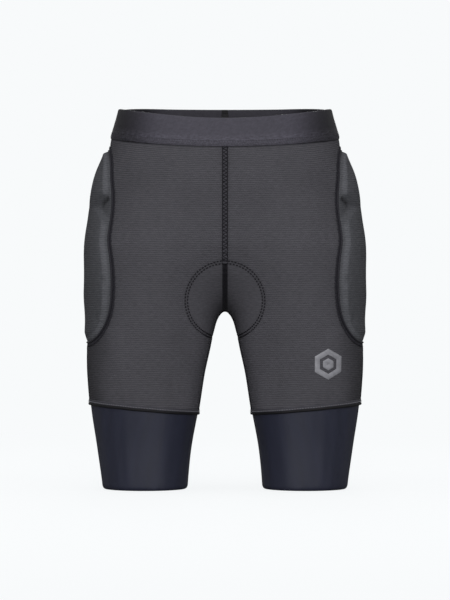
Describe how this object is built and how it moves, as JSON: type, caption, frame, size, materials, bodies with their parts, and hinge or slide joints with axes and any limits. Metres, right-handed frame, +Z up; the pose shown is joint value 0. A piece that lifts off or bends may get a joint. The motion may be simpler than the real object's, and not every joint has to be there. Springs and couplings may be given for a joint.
{
  "type": "padded impact shorts",
  "caption": "Close-fitting padded shorts with foam hip and tailbone armour, a sewn-in seat pad, an elastic waistband and long lycra cuffs with gripper bands.",
  "frame": {"origin": "middle of the bounding box on the plane of the cuff hems", "axes": "+Z up from the cuff hems to the waistband, +X towards the wearer's left, -Y towards the front"},
  "size_m": [0.3966, 0.2403, 0.5385],
  "materials": {
    "mesh_fabric": "perforated compression knit, matt charcoal",
    "pad_fabric": "brushed stretch knit, matt",
    "waistband_satin": "fine-ribbed satin elastic, soft sheen",
    "knitted_elastic": "knitted elastic tape",
    "navy_lycra": "smooth lycra, soft sheen",
    "thread": "spun polyester thread and binding",
    "seat_fabric": "brushed microfibre",
    "seat_foam": "microfibre-faced soft foam",
    "impact_foam": "moulded impact foam",
    "silicone": "dotted silicone gripper",
    "reflective_print": "heat-pressed reflective film",
    "label_satin": "woven satin, blank"
  },
  "bodies": {
    "pelvis": {"waistband_cover": "waistband_satin", "waistband_elastic": "knitted_elastic", "waist_seam": "thread", "centre_front_seam": "thread", "centre_back_seam": "thread", "left_front_panel": "mesh_fabric", "right_front_panel": "mesh_fabric", "left_back_panel": "mesh_fabric", "right_back_panel": "mesh_fabric", "left_inseam_upper": "thread", "right_inseam_upper": "thread", "left_hip_pad_cover": "pad_fabric", "left_hip_pad_foam": "impact_foam", "left_hip_pad_backing": "mesh_fabric", "left_hip_pad_seam": "thread", "right_hip_pad_cover": "pad_fabric", "right_hip_pad_foam": "impact_foam", "right_hip_pad_backing": "mesh_fabric", "right_hip_pad_seam": "thread", "tailbone_pocket": "mesh_fabric", "tailbone_foam": "impact_foam", "tailbone_stitching": "thread", "chamois_carrier": "seat_fabric", "chamois_foam_left": "seat_foam", "chamois_foam_right": "seat_foam", "chamois_front_foam": "seat_foam", "chamois_stitching": "thread"},
    "left_leg": {"left_thigh_front_panel": "mesh_fabric", "left_thigh_back_panel": "mesh_fabric", "left_inseam": "thread", "left_side_seam": "thread", "left_cuff_seam": "thread", "left_cuff": "navy_lycra", "left_cuff_gripper": "silicone", "left_thigh_mark": "reflective_print"},
    "right_leg": {"right_thigh_front_panel": "mesh_fabric", "right_thigh_back_panel": "mesh_fabric", "right_inseam": "thread", "right_side_seam": "thread", "right_cuff_seam": "thread", "right_cuff": "navy_lycra", "right_cuff_gripper": "silicone"},
    "loop": {"hang_loop": "thread"},
    "label": {"care_label": "label_satin"}
  },
  "joints": [
    {"name": "left_hip", "type": "hinge", "parent": "pelvis", "child": "left_leg", "pos_m": [0.11, -0.00977, 0.33], "axis": [-1, 0, 0], "range_deg": [-15, 45]},
    {"name": "right_hip", "type": "hinge", "parent": "pelvis", "child": "right_leg", "pos_m": [-0.11, -0.00977, 0.33], "axis": [-1, 0, 0], "range_deg": [-15, 45]},
    {"name": "hang_loop_flip", "type": "hinge", "parent": "pelvis", "child": "loop", "pos_m": [0, 0.08863, 0.5305], "axis": [-1, 0, 0], "range_deg": [0, 160]},
    {"name": "care_label_lift", "type": "hinge", "parent": "pelvis", "child": "label", "pos_m": [0.025, 0.09403, 0.4795], "axis": [-1, 0, 0], "range_deg": [0, 90]}
  ]
}
